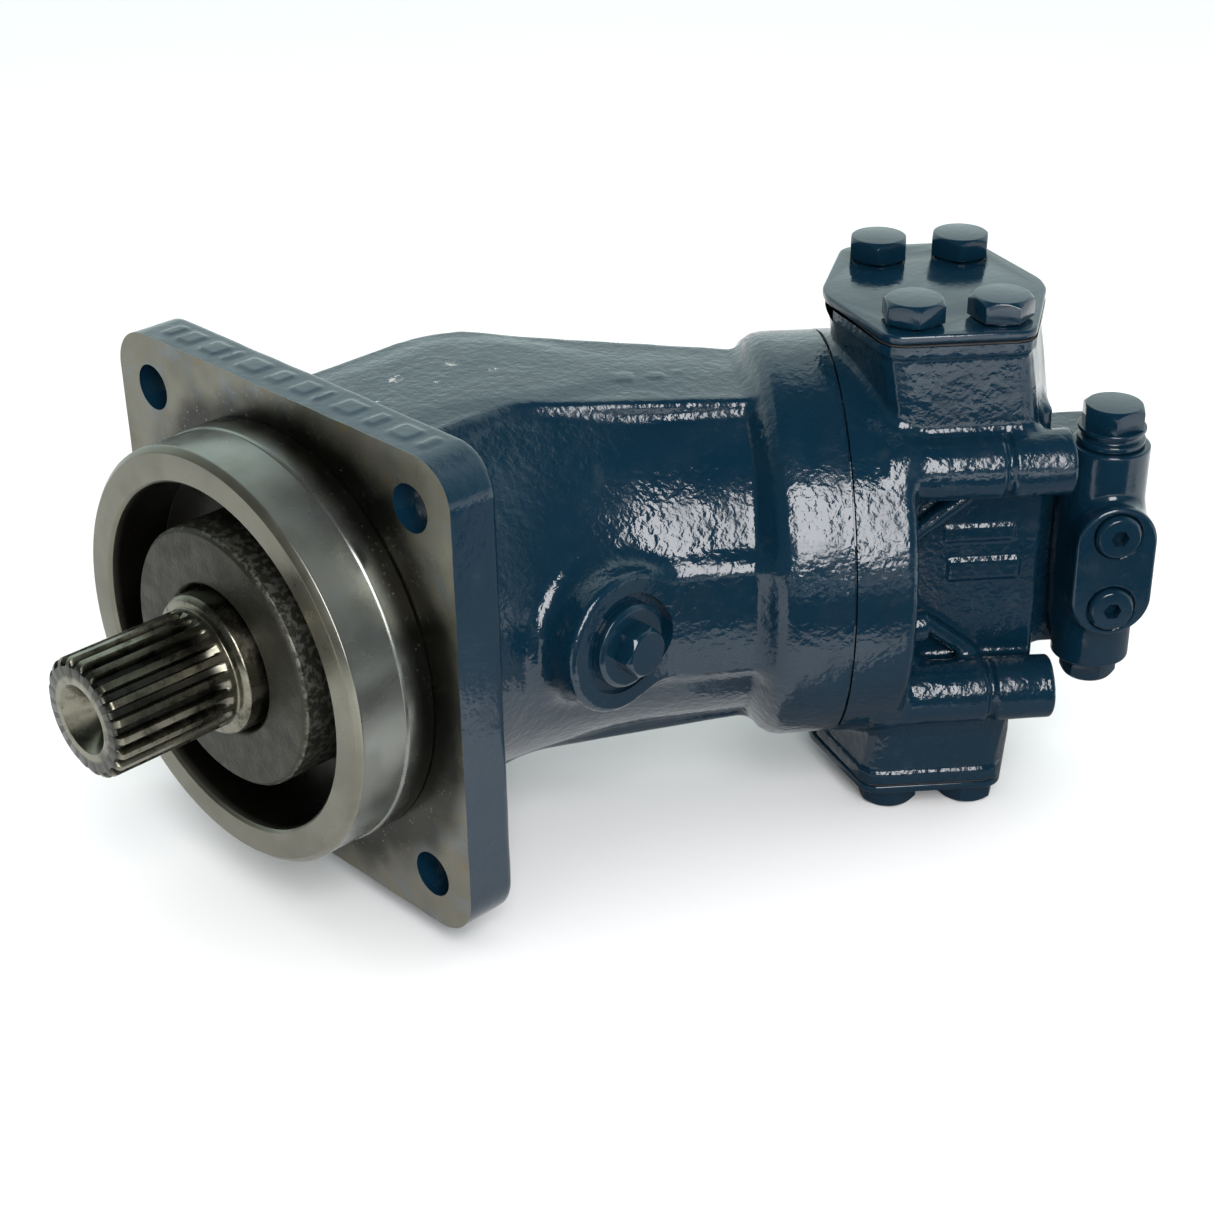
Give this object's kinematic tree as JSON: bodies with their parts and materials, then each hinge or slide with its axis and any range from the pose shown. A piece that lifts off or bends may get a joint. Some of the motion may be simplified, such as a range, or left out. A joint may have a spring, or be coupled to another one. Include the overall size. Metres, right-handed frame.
{
  "type": "hydraulic motor",
  "caption": "Bent-axis axial-piston hydraulic motor with a square pilot flange, splined shaft, blanked top and bottom ports and a flushing valve.",
  "frame": {"origin": "under the middle of the motor's box, level with the lowest port bolt heads", "axes": "+X runs into the motor along the shaft axis from the mounting flange, +Z points at the upper port, and the barrel bends 40 degrees towards -Y"},
  "size_m": [0.3892, 0.2988, 0.2116],
  "materials": {
    "navy_paint": "glossy paint over cast iron",
    "machined_iron": "turned and oily",
    "polished_steel": "ground",
    "screw_steel": "blackened",
    "bronze": "turned",
    "rubber": "matte",
    "gasket_fibre": "matte"
  },
  "bodies": {
    "casing": {"control_plate": "bronze", "drain_plug": "navy_paint", "drain_washer": "bronze", "flushing_valve_body": "navy_paint", "front_bearing_cup": "polished_steel", "front_cover": "machined_iron", "housing": "navy_paint", "port_bolt_bottom_1": "navy_paint", "port_bolt_bottom_2": "navy_paint", "port_bolt_bottom_3": "navy_paint", "port_bolt_bottom_4": "navy_paint", "port_bolt_top_1": "navy_paint", "port_bolt_top_2": "navy_paint", "port_bolt_top_3": "navy_paint", "port_bolt_top_4": "navy_paint", "port_cover_bottom": "navy_paint", "port_cover_top": "navy_paint", "port_gasket_bottom": "gasket_fibre", "port_gasket_top": "gasket_fibre", "port_plate": "navy_paint", "port_plate_gasket": "gasket_fibre", "port_plate_screw_1": "screw_steel", "port_plate_screw_2": "screw_steel", "port_plate_screw_3": "screw_steel", "port_plate_screw_4": "screw_steel", "rear_bearing_cup": "polished_steel", "rear_drain_plug": "navy_paint", "shaft_seal": "rubber", "valve_plug_bottom": "navy_paint", "valve_plug_top": "navy_paint", "valve_port_plug_lower": "navy_paint", "valve_port_plug_upper": "navy_paint", "valve_screw_1": "screw_steel", "valve_screw_2": "screw_steel", "valve_spring_bottom": "polished_steel", "valve_spring_top": "polished_steel"},
    "shaft": {"drive_shaft": "polished_steel", "front_bearing_cone": "polished_steel", "rear_bearing_cone": "polished_steel", "retaining_plate": "polished_steel"},
    "block": {"cylinder_block": "polished_steel", "centre_pin": "polished_steel", "centre_spring": "polished_steel"},
    "front_rollers": {"front_bearing_rollers": "bronze"},
    "rear_rollers": {"rear_bearing_rollers": "bronze"},
    "spool": {"valve_spool": "polished_steel"},
    "ball_1": {"piston_ball_1": "polished_steel"},
    "piston_1": {"piston_1": "polished_steel"},
    "ball_2": {"piston_ball_2": "polished_steel"},
    "piston_2": {"piston_2": "polished_steel"},
    "ball_3": {"piston_ball_3": "polished_steel"},
    "piston_3": {"piston_3": "polished_steel"},
    "ball_4": {"piston_ball_4": "polished_steel"},
    "piston_4": {"piston_4": "polished_steel"},
    "ball_5": {"piston_ball_5": "polished_steel"},
    "piston_5": {"piston_5": "polished_steel"},
    "ball_6": {"piston_ball_6": "polished_steel"},
    "piston_6": {"piston_6": "polished_steel"},
    "ball_7": {"piston_ball_7": "polished_steel"},
    "piston_7": {"piston_7": "polished_steel"}
  },
  "joints": [
    {"name": "shaft_spin", "type": "hinge", "parent": "casing", "child": "shaft", "pos_m": [-0.1055, 0.05191, 0.103], "axis": [1, 0, 0], "continuous": true},
    {"name": "block_spin", "type": "hinge", "parent": "casing", "child": "block", "pos_m": [-0.0174, 0.05191, 0.103], "axis": [0.766, -0.6428, 0], "continuous": true},
    {"name": "front_roller_orbit", "type": "hinge", "parent": "casing", "child": "front_rollers", "pos_m": [-0.099, 0.05191, 0.103], "axis": [1, 0, 0], "continuous": true},
    {"name": "rear_roller_orbit", "type": "hinge", "parent": "casing", "child": "rear_rollers", "pos_m": [-0.069, 0.05191, 0.103], "axis": [1, 0, 0], "continuous": true},
    {"name": "ball_swivel_1", "type": "hinge", "parent": "shaft", "child": "ball_1", "pos_m": [-0.0174, 0.09191, 0.103], "axis": [1, 0, 0], "continuous": true},
    {"name": "piston_swivel_1", "type": "hinge", "parent": "ball_1", "child": "piston_1", "pos_m": [-0.0174, 0.09191, 0.103], "axis": [0.766, -0.6428, 0], "continuous": true},
    {"name": "ball_swivel_2", "type": "hinge", "parent": "shaft", "child": "ball_2", "pos_m": [-0.0174, 0.07685, 0.13427], "axis": [1, 0, 0], "continuous": true},
    {"name": "piston_swivel_2", "type": "hinge", "parent": "ball_2", "child": "piston_2", "pos_m": [-0.0174, 0.07685, 0.13427], "axis": [0.766, -0.6428, 0], "continuous": true},
    {"name": "ball_swivel_3", "type": "hinge", "parent": "shaft", "child": "ball_3", "pos_m": [-0.0174, 0.04301, 0.142], "axis": [1, 0, 0], "continuous": true},
    {"name": "piston_swivel_3", "type": "hinge", "parent": "ball_3", "child": "piston_3", "pos_m": [-0.0174, 0.04301, 0.142], "axis": [0.766, -0.6428, 0], "continuous": true},
    {"name": "ball_swivel_4", "type": "hinge", "parent": "shaft", "child": "ball_4", "pos_m": [-0.0174, 0.01587, 0.12036], "axis": [1, 0, 0], "continuous": true},
    {"name": "piston_swivel_4", "type": "hinge", "parent": "ball_4", "child": "piston_4", "pos_m": [-0.0174, 0.01587, 0.12036], "axis": [0.766, -0.6428, 0], "continuous": true},
    {"name": "ball_swivel_5", "type": "hinge", "parent": "shaft", "child": "ball_5", "pos_m": [-0.0174, 0.01587, 0.08564], "axis": [1, 0, 0], "continuous": true},
    {"name": "piston_swivel_5", "type": "hinge", "parent": "ball_5", "child": "piston_5", "pos_m": [-0.0174, 0.01587, 0.08564], "axis": [0.766, -0.6428, 0], "continuous": true},
    {"name": "ball_swivel_6", "type": "hinge", "parent": "shaft", "child": "ball_6", "pos_m": [-0.0174, 0.04301, 0.064], "axis": [1, 0, 0], "continuous": true},
    {"name": "piston_swivel_6", "type": "hinge", "parent": "ball_6", "child": "piston_6", "pos_m": [-0.0174, 0.04301, 0.064], "axis": [0.766, -0.6428, 0], "continuous": true},
    {"name": "ball_swivel_7", "type": "hinge", "parent": "shaft", "child": "ball_7", "pos_m": [-0.0174, 0.07685, 0.07173], "axis": [1, 0, 0], "continuous": true},
    {"name": "piston_swivel_7", "type": "hinge", "parent": "ball_7", "child": "piston_7", "pos_m": [-0.0174, 0.07685, 0.07173], "axis": [0.766, -0.6428, 0], "continuous": true},
    {"name": "spool_slide", "type": "slide", "parent": "casing", "child": "spool", "axis": [0, 0, 1], "range_m": [-0.003, 0.003], "stiffness_N_per_m": 1500, "deforming": ["valve_spring_top", "valve_spring_bottom"]}
  ],
  "couplings": [
    {"joint": "block_spin", "follows": "shaft_spin", "ratio": 1},
    {"joint": "front_roller_orbit", "follows": "shaft_spin", "ratio": 0.4507},
    {"joint": "rear_roller_orbit", "follows": "shaft_spin", "ratio": 0.4441},
    {"joint": "ball_swivel_1", "follows": "shaft_spin", "ratio": -1},
    {"joint": "piston_swivel_1", "follows": "shaft_spin", "ratio": -1},
    {"joint": "ball_swivel_2", "follows": "shaft_spin", "ratio": -1},
    {"joint": "piston_swivel_2", "follows": "shaft_spin", "ratio": -1},
    {"joint": "ball_swivel_3", "follows": "shaft_spin", "ratio": -1},
    {"joint": "piston_swivel_3", "follows": "shaft_spin", "ratio": -1},
    {"joint": "ball_swivel_4", "follows": "shaft_spin", "ratio": -1},
    {"joint": "piston_swivel_4", "follows": "shaft_spin", "ratio": -1},
    {"joint": "ball_swivel_5", "follows": "shaft_spin", "ratio": -1},
    {"joint": "piston_swivel_5", "follows": "shaft_spin", "ratio": -1},
    {"joint": "ball_swivel_6", "follows": "shaft_spin", "ratio": -1},
    {"joint": "piston_swivel_6", "follows": "shaft_spin", "ratio": -1},
    {"joint": "ball_swivel_7", "follows": "shaft_spin", "ratio": -1},
    {"joint": "piston_swivel_7", "follows": "shaft_spin", "ratio": -1}
  ]
}
